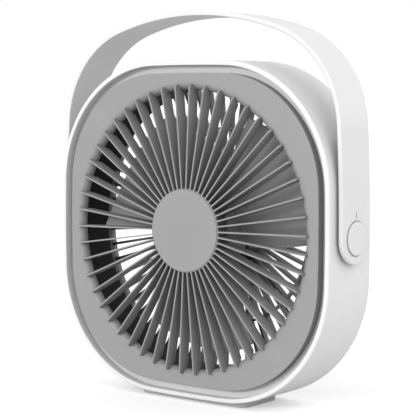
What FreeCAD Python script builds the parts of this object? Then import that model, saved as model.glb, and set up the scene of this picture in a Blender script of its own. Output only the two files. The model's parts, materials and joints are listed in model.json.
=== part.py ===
"""Square desk fan with a swinging carry handle, as a parametric FreeCAD document.

The document holds one sheet of sizes and one object for every physical piece.  Every
piece is drawn about the fan's own axis (x to the right, y to the back, z up) and then
lifted to its height above the table.  Sizes are millimetres.
"""

import FreeCAD, Part
import math
import os

import Sketcher

V = FreeCAD.Vector
DOC = FreeCAD.newDocument("desk_fan")
SHEET = DOC.addObject("Spreadsheet::Sheet", "Sizes")


# ---------------------------------------------------------------------------
# Sizes: a value and the expression that keeps it tied to the sheet
# ---------------------------------------------------------------------------

class Size:
    """A length worked out here, together with its expression in the sheet's names."""

    def __init__(self, value, text):
        self.value = float(value)
        self.text = text

    @staticmethod
    def of(other):
        """Return other as a Size."""
        return other if isinstance(other, Size) else Size(other, repr(float(other)))

    def __add__(self, other):
        other = Size.of(other)
        return Size(self.value + other.value, f"({self.text} + {other.text})")

    def __sub__(self, other):
        other = Size.of(other)
        return Size(self.value - other.value, f"({self.text} - {other.text})")

    def __mul__(self, other):
        other = Size.of(other)
        return Size(self.value * other.value, f"({self.text} * {other.text})")

    def __truediv__(self, other):
        other = Size.of(other)
        return Size(self.value / other.value, f"({self.text} / {other.text})")

    def __radd__(self, other):
        return Size.of(other) + self

    def __rsub__(self, other):
        return Size.of(other) - self

    def __rmul__(self, other):
        return Size.of(other) * self

    def __neg__(self):
        return Size(-self.value, f"(0 - {self.text})")

    def root(self):
        """Return the square root."""
        return Size(math.sqrt(self.value), f"sqrt({self.text})")

    def squared(self):
        """Return the square."""
        return self * self


class Sizes:
    """The sheet's rows, one alias each."""

    def __init__(self, sheet):
        self.sheet = sheet
        self.row = 0

    def _write(self, name, content):
        self.row += 1
        self.sheet.set(f"A{self.row}", name)
        self.sheet.set(f"B{self.row}", content)
        self.sheet.setAlias(f"B{self.row}", name)

    def given(self, name, value):
        """Write a driving size and return it."""
        self._write(name, repr(value))
        return Size(value, f"Sizes.{name}")

    def derived(self, name, size):
        """Write a size that follows from others and return it."""
        self._write(name, "=" + size.text.replace("Sizes.", ""))
        return Size(size.value, f"Sizes.{name}")


sizes = Sizes(SHEET)
given = sizes.given
derived = sizes.derived

# Driving sizes
body_w = given("body_w", 160.0)
depth = given("depth", 38.0)
foot_drop = given("foot_drop", 1.6)
wall = given("wall", 2.2)
groove_w = given("groove_w", 3.8)
corner_r = given("corner_r", 53.5)
bulge_r = given("bulge_r", 930.0)
handle_rise = given("handle_rise", 23.0)
handle_w = given("handle_w", 23.5)
handle_t = given("handle_t", 2.15)
handle_gap = given("handle_gap", 1.2)
fin_t = given("fin_t", 0.7)
cap_r = given("cap_r", 7.75)
stem_r = given("stem_r", 4.0)
seat_r = given("seat_r", 20.0)
hub_r = given("hub_r", 18.5)
tip_gap = given("tip_gap", 6.2)
duct_t = given("duct_t", 1.6)
shaft_r = given("shaft_r", 1.5)
bearing_r = given("bearing_r", 4.0)
screw_r = given("screw_r", 1.08)
run_gap = given("run_gap", 0.05)
fit_gap = given("fit_gap", 0.02)

FIN_COUNT = 50
RIB_COUNT = 60
BLADE_COUNT = 3
POLE_COUNT = 9
FIN_PHASE = 1.2
RIB_PHASE = 4.4
BLADE_PHASE = 29.0
SCREW_ANGLE = 23.0
BATTERY_ANGLE = 225.0
BOARD_ANGLE = 315.0

# Levels from front to back
y_hub = derived("y_hub", -depth / 2)
y_lip = derived("y_lip", y_hub + 2.0)
y_panel = derived("y_panel", y_lip + 0.4)
y_fin = derived("y_fin", y_hub + 0.2)
y_floor = derived("y_floor", y_lip + 4.6)
y_ledge = derived("y_ledge", y_floor + 2.0)
y_rear = derived("y_rear", depth / 2)
y_plate = derived("y_plate", y_rear - wall)
y_split = derived("y_split", y_rear - 3.0)

# Outlines: the front panel's, and everything else at an offset from it
panel_a = derived("panel_a", body_w / 2 - wall - groove_w)
side_off = derived("side_off", groove_w + wall)
axis_z = derived("axis_z", body_w / 2 + foot_drop)
corner_c = derived(
    "corner_c",
    ((2.0 * (bulge_r - corner_r).squared() - (bulge_r - panel_a).squared()).root()
     - (bulge_r - panel_a)) / 2,
)

# Duct
throat_r = derived("throat_r", panel_a - 7.6)
mouth_r = derived("mouth_r", Size.of(3.2))
y_throat = derived("y_throat", y_panel + mouth_r)
y_flare = derived("y_flare", y_plate - 1.9)
flare_r = derived("flare_r", throat_r + 9.1)
open_r = derived("open_r", flare_r + 1.1)

# Handle and pivot, across the body
x_side = derived("x_side", body_w / 2)
x_handle = derived("x_handle", x_side + handle_gap)
x_outer = derived("x_outer", x_handle + handle_t)
x_cap = derived("x_cap", x_outer + 0.6)
x_sink = derived("x_sink", x_handle + handle_t * 0.47)
x_boss = derived("x_boss", x_side - 8.0)
z_top = derived("z_top", x_side + handle_rise)


# ---------------------------------------------------------------------------
# Sketches and features
# ---------------------------------------------------------------------------

def arc(radius, ccw=True):
    """Return a path step that runs to the next corner along the shorter arc."""
    return ("arc", Size.of(radius), ccw)


def arc_geometry(start, end, radius, ccw):
    """Return the shorter arc between two points, turning the stated way."""
    mid = (start + end) * 0.5
    chord = end - start
    side = V(-chord.y, chord.x, 0)
    side.normalize()
    reach = math.sqrt(max(radius**2 - (chord.Length / 2) ** 2, 0.0))
    centre = mid + side * (reach if ccw else -reach)
    circle = Part.Circle(centre, V(0, 0, 1), radius)
    first, last = (start, end) if ccw else (end, start)
    a = math.atan2(first.y - centre.y, first.x - centre.x)
    b = math.atan2(last.y - centre.y, last.x - centre.x)
    if b < a:
        b += 2 * math.pi
    return Part.ArcOfCircle(circle, a, b)


def pin(sketch, geo, pos, x, y):
    """Fix a sketch point at a stated place."""
    for kind, size in (("DistanceX", Size.of(x)), ("DistanceY", Size.of(y))):
        index = sketch.addConstraint(Sketcher.Constraint(kind, geo, pos, size.value))
        sketch.setExpression(f"Constraints[{index}]", size.text)


def draw_path(sketch, steps):
    """Draw a closed path: corners as (x, y) with an arc step wherever a side is curved."""
    corners = []
    curves = []
    for step in steps:
        if step[0] == "arc":
            curves[-1] = step
        else:
            corners.append((Size.of(step[0]), Size.of(step[1])))
            curves.append(None)
    points = [V(x.value, y.value, 0) for x, y in corners]
    ends = []
    for i, curve in enumerate(curves):
        start = points[i]
        end = points[(i + 1) % len(points)]
        if curve is None:
            geo = sketch.addGeometry(Part.LineSegment(start, end), False)
            ends.append((geo, 1, 2))
            continue
        _, radius, ccw = curve
        geo = sketch.addGeometry(arc_geometry(start, end, radius.value, ccw), False)
        ends.append((geo, 1, 2) if ccw else (geo, 2, 1))
        index = sketch.addConstraint(Sketcher.Constraint("Radius", geo, radius.value))
        sketch.setExpression(f"Constraints[{index}]", radius.text)
    for i, (geo, first, last) in enumerate(ends):
        nxt, nxt_first, _ = ends[(i + 1) % len(ends)]
        sketch.addConstraint(Sketcher.Constraint("Coincident", geo, last, nxt, nxt_first))
        pin(sketch, geo, first, *corners[i])


def draw_circle(sketch, x, y, radius):
    """Draw a circle with its centre and radius fixed."""
    x, y, radius = Size.of(x), Size.of(y), Size.of(radius)
    circle = Part.Circle(V(x.value, y.value, 0), V(0, 0, 1), radius.value)
    geo = sketch.addGeometry(circle, False)
    index = sketch.addConstraint(Sketcher.Constraint("Radius", geo, radius.value))
    sketch.setExpression(f"Constraints[{index}]", radius.text)
    pin(sketch, geo, 3, x, y)


def ring(*radii):
    """Return drawers for circles about the axis."""
    return [("circle", 0.0, 0.0, r) for r in radii]


def rect(x0, x1, y0, y1):
    """Return a rectangle as a path."""
    return [(x0, y0), (x1, y0), (x1, y1), (x0, y1)]


def squircle(offset):
    """Return the bulged rounded square at an offset outside the front panel's edge."""
    offset = Size.of(offset)
    reach = bulge_r - corner_r
    along = (corner_c + bulge_r - panel_a) / reach
    across = corner_c / reach
    far = (bulge_r + offset) * along - (bulge_r - panel_a)
    near = (bulge_r + offset) * across
    side = arc(bulge_r + offset)
    corner = arc(corner_r + offset)
    return [
        (far, -near), side, (far, near), corner,
        (near, far), side, (-near, far), corner,
        (-far, near), side, (-far, -near), corner,
        (-near, -far), side, (near, -far), corner,
    ]


PLANES = {"XZ": "XZ_Plane", "YZ": "YZ_Plane", "XY": "XY_Plane"}


class Piece:
    """One physical piece, modelled as a body of sketched features."""

    def __init__(self, name):
        self.name = name
        self.body = DOC.addObject("PartDesign::Body", "body_" + name)
        self.body.Label = name
        self.count = 0

    def sketch(self, plane, level, shapes, turn=0.0, tilt=0.0):
        """Draw shapes on a plane of the body, at a level along its normal."""
        self.count += 1
        sketch = self.body.newObject("Sketcher::SketchObject", f"{self.name}_sketch{self.count}")
        origin = [o for o in self.body.Origin.OriginFeatures if o.Role == PLANES[plane]][0]
        sketch.AttachmentSupport = [(origin, "")]
        sketch.MapMode = "FlatFace"
        level = Size.of(level)
        if plane == "XZ":
            level = -level
        turned = FreeCAD.Rotation(V(0, 0, 1), turn) * FreeCAD.Rotation(V(0, 1, 0), tilt)
        sketch.AttachmentOffset = FreeCAD.Placement(V(0, 0, level.value), turned)
        sketch.setExpression("AttachmentOffset.Base.z", level.text)
        for shape in shapes:
            if shape[0] == "circle":
                draw_circle(sketch, *shape[1:])
            else:
                draw_path(sketch, shape)
        return sketch

    def _finish(self, feature):
        DOC.recompute()
        self.body.Tip = feature
        return feature

    def pad(self, plane, low, high, *shapes, turn=0.0):
        """Add material between two levels."""
        low, high = Size.of(low), Size.of(high)
        start = high if plane == "XZ" else low
        sketch = self.sketch(plane, start, shapes, turn)
        feature = self.body.newObject("PartDesign::Pad", f"{self.name}_pad{self.count}")
        feature.Profile = sketch
        feature.Length = (high - low).value
        feature.setExpression("Length", (high - low).text)
        return self._finish(feature)

    def cut(self, plane, low, high, *shapes, turn=0.0):
        """Remove material between two levels."""
        low, high = Size.of(low), Size.of(high)
        start = low if plane == "XZ" else high
        sketch = self.sketch(plane, start, shapes, turn)
        feature = self.body.newObject("PartDesign::Pocket", f"{self.name}_cut{self.count}")
        feature.Profile = sketch
        feature.Length = (high - low).value
        feature.setExpression("Length", (high - low).text)
        return self._finish(feature)

    def turn(self, *shapes, cut=False, about="V_Axis", plane="XY"):
        """Add or remove a solid of revolution about an axis of the sketch."""
        sketch = self.sketch(plane, 0.0, shapes)
        kind = "Groove" if cut else "Revolution"
        feature = self.body.newObject("PartDesign::" + kind, f"{self.name}_turn{self.count}")
        feature.Profile = sketch
        feature.ReferenceAxis = (sketch, [about])
        feature.Angle = 360.0
        return self._finish(feature)

    def around(self, features, count):
        """Repeat features round the fan's axis."""
        pattern = self.body.newObject("PartDesign::PolarPattern", f"{self.name}_ring{self.count}")
        pattern.Originals = features
        axis = [o for o in self.body.Origin.OriginFeatures if o.Role == "Y_Axis"][0]
        pattern.Axis = (axis, [""])
        pattern.Angle = 360.0
        pattern.Occurrences = count
        return self._finish(pattern)

    def round(self, radius, chosen):
        """Fillet the edges that a test picks out."""
        base = self.body.Tip
        names = [f"Edge{i + 1}" for i, edge in enumerate(base.Shape.Edges) if chosen(edge)]
        radius = Size.of(radius)
        feature = self.body.newObject("PartDesign::Fillet", f"{self.name}_round{self.count}")
        feature.Base = (base, names)
        feature.Radius = radius.value
        feature.setExpression("Radius", radius.text)
        self.count += 1
        return self._finish(feature)

    def place(self, angle=0.0, depth_at=0.0):
        """Turn the piece about the fan's axis and lift it to its height."""
        turned = FreeCAD.Rotation(V(0, 1, 0), -angle)
        self.body.Placement = FreeCAD.Placement(V(0, depth_at, axis_z.value), turned)
        self.body.setExpression("Placement.Base.z", axis_z.text)
        return self.body


def group(name, shape, places):
    """Make one object of separate copies of a shape, one at each placement."""
    copies = []
    for place in places:
        copy = shape.copy()
        copy.Placement = place.multiply(copy.Placement)
        copies.append(copy)
    feature = DOC.addObject("Part::Feature", "group_" + name)
    feature.Shape = Part.makeCompound(copies)
    feature.Placement = FreeCAD.Placement(V(0, 0, axis_z.value), FreeCAD.Rotation())
    feature.Label = name
    return feature


def polar(angle, radius):
    """Return a point of the front view at an angle and radius from the fan's axis."""
    turn = math.radians(angle)
    return (radius * math.cos(turn), radius * math.sin(turn))


def on_face(edge, level, tolerance=0.01):
    """Tell whether an edge lies in the plane y = level."""
    return all(abs(v.Y - level.value) < tolerance for v in edge.Vertexes)


# ---------------------------------------------------------------------------
# Shells, grilles and duct
# ---------------------------------------------------------------------------

grille_screws_r = derived("grille_screws_r", panel_a + 0.5)
shell_screws_r = derived("shell_screws_r", panel_a + side_off - 0.2)
flange_r = derived("flange_r", flare_r + 2.1)
GRILLE_ANGLES = [SCREW_ANGLE, 180 - SCREW_ANGLE, 180 + SCREW_ANGLE, -SCREW_ANGLE]
SHELL_ANGLES = [90 - SCREW_ANGLE, 90 + SCREW_ANGLE, -90 - SCREW_ANGLE, -90 + SCREW_ANGLE]


def circles_at(angles, distance, radius):
    """Return circles at a distance from the axis, one at each angle."""
    return [("circle", *polar(angle, distance), radius) for angle in angles]


foot_l = given("foot_l", 64.0)
foot_front = given("foot_front", 3.4)
foot_back = given("foot_back", 1.6)
foot_sink = given("foot_sink", 0.8)
y_foot0 = derived("y_foot0", y_lip + foot_front)
y_foot1 = derived("y_foot1", y_split - foot_back)


def foot_outline(grow, low, top_sink):
    """Return the foot's front view, its top following the body's underside."""
    half = foot_l / 2 + grow
    top_r = bulge_r + side_off
    drop = top_r - (top_r.squared() - half.squared()).root()
    level = -(x_side - drop) + top_sink
    return [(-half, low), (half, low), (half, level), arc(top_r, ccw=False), (-half, level)]


def build_body_shell():
    """The white ring: outer wall, front lip, ledge, screw bosses and pivot bosses."""
    piece = Piece("body_shell")
    piece.pad("XZ", y_lip, y_split, squircle(side_off))
    piece.round(0.7, lambda e: on_face(e, y_lip))
    piece.cut("XZ", y_lip - 1, y_floor, squircle(groove_w))
    piece.cut("XZ", y_ledge, y_split + 1, squircle(groove_w))
    piece.cut("XZ", y_floor - 1, y_ledge + 1, *ring(throat_r + duct_t + 0.6))
    piece.pad("XZ", y_ledge - 0.5, y_split - 0.1, *circles_at(SHELL_ANGLES, shell_screws_r, 3.2))
    piece.cut("XZ", y_ledge, y_split, *ring(flange_r + 0.15))
    for side in (1, -1):
        low, high = sorted((side * x_boss, side * (x_side - 1.0)), key=lambda s: s.value)
        piece.pad("YZ", low, high, ("circle", 0.0, 0.0, 6.8))
        low, high = sorted((side * (x_boss - 1), side * (x_side + 1)), key=lambda s: s.value)
        piece.cut("YZ", low, high, ("circle", 0.0, 0.0, stem_r + run_gap))
    piece.cut("XZ", y_floor - 1, y_ledge + 1, *circles_at(GRILLE_ANGLES, grille_screws_r, 1.4))
    pilot = screw_r + fit_gap
    piece.cut("XZ", y_split - 9, y_split, *circles_at(SHELL_ANGLES, shell_screws_r, pilot))
    piece.cut("XZ", y_foot0 - fit_gap, y_foot1 + fit_gap,
              foot_outline(fit_gap, -x_side - 2, foot_sink))
    return piece.place()


def build_rear_shell():
    """The white back cover: rounded rim, intake opening, board posts and control holes."""
    piece = Piece("rear_shell")
    piece.pad("XZ", y_split, y_rear, squircle(side_off))
    piece.round(2.7, lambda e: on_face(e, y_rear))
    piece.cut("XZ", y_split, y_plate, squircle(groove_w))
    inner = groove_w - 0.15
    piece.pad("XZ", y_split - 2.5, y_plate + 0.2, squircle(inner))
    piece.cut("XZ", y_split - 3, y_plate, squircle(inner - 1.2))
    piece.cut("XZ", y_split - 3, y_split, *circles_at(SHELL_ANGLES, shell_screws_r, 3.6))
    piece.cut("XZ", y_plate - 4, y_rear + 1, *ring(open_r))
    piece.cut("XZ", y_plate - 4, y_plate, *ring(flange_r + 0.15))
    piece.cut("XZ", y_plate - 1, y_rear + 1, *circles_at(SHELL_ANGLES, shell_screws_r, 1.3))
    piece.cut("XZ", y_rear - 1.3, y_rear + 1, *circles_at(SHELL_ANGLES, shell_screws_r, 2.4))
    posts = [("circle", post_d, side * post_t, 2.4) for side in (1, -1)]
    piece.pad("XZ", y_board + board_t, y_plate + 0.2, *posts, turn=BOARD_ANGLE)
    pilots = [("circle", post_d, side * post_t, screw_r + fit_gap) for side in (1, -1)]
    piece.cut("XZ", y_board + board_t, y_plate, *pilots, turn=BOARD_ANGLE)
    holes = [
        ("circle", button_d, 0.0, button_r + 0.15),
        ("circle", button_d, lens_t, lens_r + fit_gap),
        slot(button_d, port_t, port_thin / 2 + 0.15, port_wide / 2 + 0.15),
    ]
    piece.cut("XZ", y_plate - 1, y_rear + 1, *holes, turn=BOARD_ANGLE)
    return piece.place()


def slot(x, y, half_thin, half_wide):
    """Return an upright slot with round ends about a point."""
    half_thin, half_wide = Size.of(half_thin), Size.of(half_wide)
    straight = half_wide - half_thin
    bend = arc(half_thin * 1.0001)
    return [
        (x + half_thin, y - straight), (x + half_thin, y + straight), bend,
        (x - half_thin, y + straight), (x - half_thin, y - straight), bend,
    ]


def build_front_grille():
    """The grey front: flat panel, rounded mouth, straight radial fins and centre disc."""
    piece = Piece("front_grille")
    panel_t = 1.8
    piece.pad("XZ", y_panel, y_floor, squircle(0.0))
    piece.round(0.3, lambda e: on_face(e, y_panel))
    piece.cut("XZ", y_panel + panel_t, y_floor + 1, squircle(-panel_t))
    piece.cut("XZ", y_panel - 1, y_floor + 1, *ring(throat_r + mouth_r))
    edge = throat_r + mouth_r
    thick = mouth_r - duct_t
    mouth = [
        (edge + 0.3, y_panel), (edge + 0.3, y_panel + duct_t), (edge, y_panel + duct_t),
        arc(thick, ccw=False), (throat_r + duct_t, y_throat), (throat_r, y_throat),
        arc(mouth_r), (edge, y_panel),
    ]
    piece.turn(mouth)
    end_r = 1.7
    tip = edge - 0.9
    lift = y_panel + 0.8
    inset = 0.8
    heel = y_floor - y_throat
    fin = [
        (seat_r - 2, y_fin), (seat_r - 2, y_floor), (throat_r - heel - 0.3, y_floor),
        arc(heel * 1.01), (throat_r - 0.3, y_throat), (throat_r + inset, y_throat),
        arc(mouth_r - inset), (tip, lift), (tip, y_fin + end_r),
        arc(end_r * 1.001, ccw=False), (tip - end_r, y_fin),
    ]
    disc = [(0.0, y_hub), (0.0, y_floor), (seat_r - 1.2, y_floor), (seat_r - 0.2, y_hub + 1.5),
            (seat_r - 0.2, y_hub + 0.5), arc(0.5), (seat_r - 0.7, y_hub)]
    sketch = piece.sketch("XY", -fin_t / 2, [fin], tilt=-FIN_PHASE)
    feature = piece.body.newObject("PartDesign::Pad", "front_grille_fin")
    feature.Profile = sketch
    feature.Length = fin_t.value
    feature.setExpression("Length", fin_t.text)
    piece._finish(feature)
    piece.around([feature], FIN_COUNT)
    piece.turn(disc)
    piece.turn([(0.0, y_hub + 1.8), (0.0, y_floor + 1), (seat_r - 3, y_floor + 1),
                (seat_r - 3, y_hub + 1.8)], cut=True)
    piece.pad("XZ", y_panel + panel_t - 0.2, y_floor,
              *circles_at(GRILLE_ANGLES, grille_screws_r, 2.6))
    piece.cut("XZ", y_panel + 0.9, y_floor + 0.5,
              *circles_at(GRILLE_ANGLES, grille_screws_r, screw_r + fit_gap))
    return piece.place()


def build_duct_ring():
    """The dark duct: straight throat, flared intake, and four ears for the grille screws."""
    piece = Piece("duct_ring")
    y_start = y_throat + run_gap
    y_ear = y_ledge + run_gap
    y_straight = y_throat + 16.0
    outer = throat_r + duct_t
    wall_path = [
        (throat_r, y_start), (throat_r, y_straight), (flare_r, y_flare),
        (flare_r + duct_t, y_flare), (outer, y_straight),
        (outer, y_ear + 1.5), (outer + 2.5, y_ear + 1.5), (outer + 2.5, y_ear), (outer, y_ear),
        (outer, y_start),
    ]
    piece.turn(wall_path)
    piece.pad("XZ", y_ear, y_ear + 1.5, *circles_at(GRILLE_ANGLES, grille_screws_r, 3.4))
    for angle in GRILLE_ANGLES:
        tab = rect(outer - 0.5, grille_screws_r, -Size.of(2.6), Size.of(2.6))
        piece.pad("XZ", y_ear, y_ear + 1.5, tab, turn=angle)
    piece.cut("XZ", y_ear - 1, y_ear + 3, *circles_at(GRILLE_ANGLES, grille_screws_r, 1.4))
    notch = rect(throat_r, flare_r + 3, -Size.of(2.0), Size.of(2.0))
    piece.cut("XZ", y_flare - 3, y_flare + 1, notch, turn=BOARD_ANGLE)
    return piece.place()


def build_rear_grille():
    """The grey intake grille with the motor seat and bearing tube at its centre."""
    piece = Piece("rear_grille")
    front = y_plate - 1.8
    back = y_rear - 0.6
    piece.turn([
        (tube_r, y_tube), (tube_r, front), (seat_r, front), (seat_r, back - 0.3),
        (seat_r - 0.3, back), (bearing_r + fit_gap, back), (bearing_r + fit_gap, y_bear3),
        (bearing_r - 0.8, y_bear3), (bearing_r - 0.8, y_bear2), (bearing_r + fit_gap, y_bear2),
        (bearing_r + fit_gap, y_tube),
    ])
    rib = rect(seat_r - 1, flare_r + 0.7, -Size.of(0.6), Size.of(0.6))
    first = piece.pad("XZ", front + 0.1, back, rib, turn=RIB_PHASE)
    piece.around([first], RIB_COUNT)
    rim = flare_r
    piece.turn([
        (rim, front + 0.05), (flange_r, front + 0.05), (flange_r, y_plate - 0.05),
        (open_r - 0.2, y_plate - 0.05), (open_r - 0.2, y_rear - 0.5), (rim + 0.5, y_rear - 0.5),
    ])
    middle = (seat_r + flare_r) / 2
    piece.turn(rect(middle - 0.6, middle + 0.6, front + 0.1, back - 0.4))
    piece.turn(rect(12.0, seat_r - 2.9, y_rear - 1.4, y_rear + 1), cut=True)
    return piece.place()


def build_hub_cover():
    """The plain white disc that closes the motor seat from behind."""
    piece = Piece("hub_cover")
    edge = seat_r - 2.95
    low = y_rear - 0.58
    piece.turn([
        (0.0, low), (12.05, low), (12.05, low - 0.8), (edge, low - 0.8),
        (edge, y_rear - 0.45), arc(0.4), (edge - 0.4, y_rear - 0.05), (0.0, y_rear - 0.05),
    ])
    return piece.place()


def build_foot_pad():
    """The grey rubber foot, let into the body's underside."""
    piece = Piece("foot_pad")
    piece.pad("XZ", y_foot0, y_foot1, foot_outline(0.0, -axis_z, foot_sink - fit_gap))
    piece.round(5.0, lambda e: abs(e.Vertexes[0].Y - e.Vertexes[-1].Y) < 0.01
                and abs(e.Vertexes[0].X - e.Vertexes[-1].X) < 0.01)
    low = -axis_z.value
    piece.round(0.5, lambda e: all(abs(v.Z - low) < 0.01 for v in e.Vertexes))
    return piece.place()


# ---------------------------------------------------------------------------
# Handle and pivots
# ---------------------------------------------------------------------------

top_r = given("top_r", 152.0)
bend_r = given("bend_r", 50.3)


def arch(name, x_leg, top, inset):
    """Return the upper corners of the handle's arch at an inset from its outer face."""
    side_r = bulge_r - inset
    crown_r = top_r - inset
    corner = bend_r - inset
    side_x = x_leg - side_r
    crown_z = top - crown_r
    gap = derived(name + "_gap", (side_x.squared() + crown_z.squared()).root())
    reach_a = side_r - corner
    reach_b = crown_r - corner
    along = derived(name + "_along",
                    (reach_a.squared() - reach_b.squared() + gap.squared()) / (2.0 * gap))
    off = derived(name + "_off", (reach_a.squared() - along.squared()).root())
    ux = -side_x / gap
    uz = crown_z / gap
    cx = derived(name + "_cx", side_x + along * ux - off * uz)
    cz = derived(name + "_cz", along * uz + off * ux)
    side_pt = (side_x + (cx - side_x) * side_r / reach_a, cz * side_r / reach_a)
    crown_pt = (cx * crown_r / reach_b, crown_z + (cz - crown_z) * crown_r / reach_b)
    return side_pt, crown_pt, side_r, corner, crown_r


def build_handle():
    """The one-piece white bail: an even strip arched over the body, hung on two pivots."""
    piece = Piece("handle")
    half = handle_w / 2
    out_side, out_crown, out_r, out_bend, out_top = arch("arch_out", x_outer, z_top, 0.0)
    in_side, in_crown, in_r, in_bend, in_top = arch("arch_in", x_handle, z_top - handle_t, handle_t)
    foot = -half
    strip = [
        (x_outer, foot), (x_outer, 0.0), arc(out_r), out_side, arc(out_bend), out_crown,
        arc(out_top), (-out_crown[0], out_crown[1]), arc(out_bend), (-out_side[0], out_side[1]),
        arc(out_r), (-x_outer, 0.0), (-x_outer, foot), (-x_handle, foot), (-x_handle, 0.0),
        arc(in_r, ccw=False), (-in_side[0], in_side[1]), arc(in_bend, ccw=False),
        (-in_crown[0], in_crown[1]), arc(in_top, ccw=False), in_crown,
        arc(in_bend, ccw=False), in_side, arc(in_r, ccw=False), (x_handle, 0.0), (x_handle, foot),
    ]
    piece.pad("XZ", -half, half, strip)
    beyond = half + 2
    waste = [
        (-beyond, 0.0), (-half, 0.0), arc(half), (0.0, -half), arc(half), (half, 0.0),
        (beyond, 0.0), (beyond, -beyond), (-beyond, -beyond),
    ]
    piece.cut("YZ", -(x_outer + 2), x_outer + 2, waste)
    piece.round(0.5, lambda e: abs(abs(e.Vertexes[0].Y) - half.value) < 0.01
                and abs(abs(e.Vertexes[-1].Y) - half.value) < 0.01
                and e.Length > 1.0 and on_strip(e, half.value))
    sink_r = cap_r + 0.3
    piece.cut("YZ", x_sink, x_outer + 1, ("circle", 0.0, 0.0, sink_r))
    piece.cut("YZ", -(x_outer + 1), -x_sink, ("circle", 0.0, 0.0, sink_r))
    piece.cut("YZ", -(x_outer + 1), x_outer + 1, ("circle", 0.0, 0.0, stem_r + run_gap))
    tick = rect(-Size.of(0.25), Size.of(0.25), sink_r + 0.9, sink_r + 3.9)
    piece.cut("YZ", x_outer - 0.35, x_outer + 1, tick)
    piece.cut("YZ", -(x_outer + 1), -x_outer + 0.35, tick)
    return piece.place()


def on_strip(edge, half):
    """Tell whether an edge runs along the strip's front or back face."""
    return all(abs(abs(p.y) - half) < 0.01 for p in edge.discretize(5))


def mirrored_pair():
    """Return the placements of a right-hand piece and the same piece turned to the left."""
    return [FreeCAD.Placement(), FreeCAD.Placement(V(0, 0, 0), FreeCAD.Rotation(V(0, 0, 1), 180))]


def disc_along_x(bands):
    """Return a solid of revolution about x from (x0, x1, inner, outer) bands."""
    solids = []
    for x0, x1, inner, outer in bands:
        x0, x1, inner, outer = (Size.of(s).value for s in (x0, x1, inner, outer))
        solid = Part.makeCylinder(outer, x1 - x0, V(x0, 0, 0), V(1, 0, 0))
        if inner > 0:
            solid = solid.cut(Part.makeCylinder(inner, x1 - x0, V(x0, 0, 0), V(1, 0, 0)))
        solids.append(solid)
    shape = solids[0]
    for solid in solids[1:]:
        shape = shape.fuse(solid)
    return shape.removeSplitter()


def build_pivots():
    """Caps with stems, friction washers, inside washers and the screws that hold them."""
    pilot = screw_r + fit_gap
    x_stem = x_boss + 0.3
    cap = disc_along_x([
        (x_stem, x_side - 0.5, pilot, stem_r),
        (x_side - 0.5, x_sink + 0.05, 0.0, stem_r),
        (x_sink + 0.04, x_cap, 0.0, cap_r),
    ])
    rim = [e for e in cap.Edges if abs(e.BoundBox.XMin - x_cap.value) < 0.01
           and abs(e.BoundBox.XMax - x_cap.value) < 0.01]
    cap = cap.makeFillet(0.45, rim)
    group("pivot_caps", cap, mirrored_pair())
    washer = disc_along_x([(x_side + 0.03, x_handle - 0.03, stem_r + run_gap, cap_r)])
    group("friction_washers", washer, mirrored_pair())
    plain = disc_along_x([(x_boss - 0.85, x_boss - 0.05, screw_r + 0.2, 5.8)])
    group("pivot_washers", plain, mirrored_pair())
    head = x_boss - 0.87
    screw = disc_along_x([(head - 1.6, head, 0.0, 2.4), (head - 0.01, x_side - 1.5, 0.0, screw_r)])
    screw = screw.cut(Part.makeCylinder(0.9, 0.8, V(head.value - 1.6, 0, 0), V(1, 0, 0)))
    group("pivot_screws", screw, mirrored_pair())


# ---------------------------------------------------------------------------
# Impeller and motor
# ---------------------------------------------------------------------------

y_spin = derived("y_spin", y_floor + 3.9)
blade_back = derived("blade_back", y_spin + 13.0)
y_can = derived("y_can", y_spin + 1.8)
can_r = derived("can_r", hub_r - 2.4)
magnet_r = derived("magnet_r", can_r - 0.95)
stator_r = derived("stator_r", magnet_r - 1.9)
tube_r = derived("tube_r", bearing_r + 1.1)
y_tube = derived("y_tube", y_can + 4.6)
y_bear2 = derived("y_bear2", y_tube + 4.2)
y_bear3 = derived("y_bear3", y_plate - 8.5)
y_stator = derived("y_stator", y_can + 4.0)
stator_t = given("stator_t", 6.0)
tip_r = derived("tip_r", throat_r - tip_gap)


def build_impeller():
    """Three broad twisted blades on a hub that covers the motor."""
    piece = Piece("impeller")
    hub_back = y_spin + 16.5
    piece.turn([(0.0, y_spin), (hub_r - 1.5, y_spin), arc(1.5), (hub_r, y_spin + 1.5),
                (hub_r, hub_back), (0.0, hub_back)])
    sections = []
    for level, trail, lead, front, back, thick in (
        (hub_r - 3.0, 18.0, 10.0, y_spin + 1.6, blade_back, 1.7),
        ((hub_r + tip_r) / 2, 29.0, 25.5, y_spin + 1.4, blade_back - 0.5, 1.5),
        (tip_r + 4.5, 37.0, 42.0, y_spin + 2.0, blade_back - 1.0, 1.3),
    ):
        camber = 34.0 + 0.9 * (trail + lead)
        sections.append(piece.sketch("YZ", level, [[
            (back, -Size.of(trail)), arc(camber), (front + thick, Size.of(lead)),
            (front, Size.of(lead) - 0.3), arc(camber, ccw=False), (back - thick, -Size.of(trail)),
        ]]))
    blade = piece.body.newObject("PartDesign::AdditiveLoft", "impeller_blade")
    blade.Profile = sections[0]
    blade.Sections = sections[1:]
    piece._finish(blade)
    piece.around([blade], BLADE_COUNT)
    piece.turn(rect(tip_r, tip_r + 30, y_spin - 20, blade_back + 20), cut=True)
    piece.turn(rect(0.0, can_r + run_gap, y_can, hub_back + 1), cut=True)
    piece.turn(rect(0.0, 3.5, y_spin + 1.0, hub_back), cut=True)
    return piece.place(BLADE_PHASE)


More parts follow.
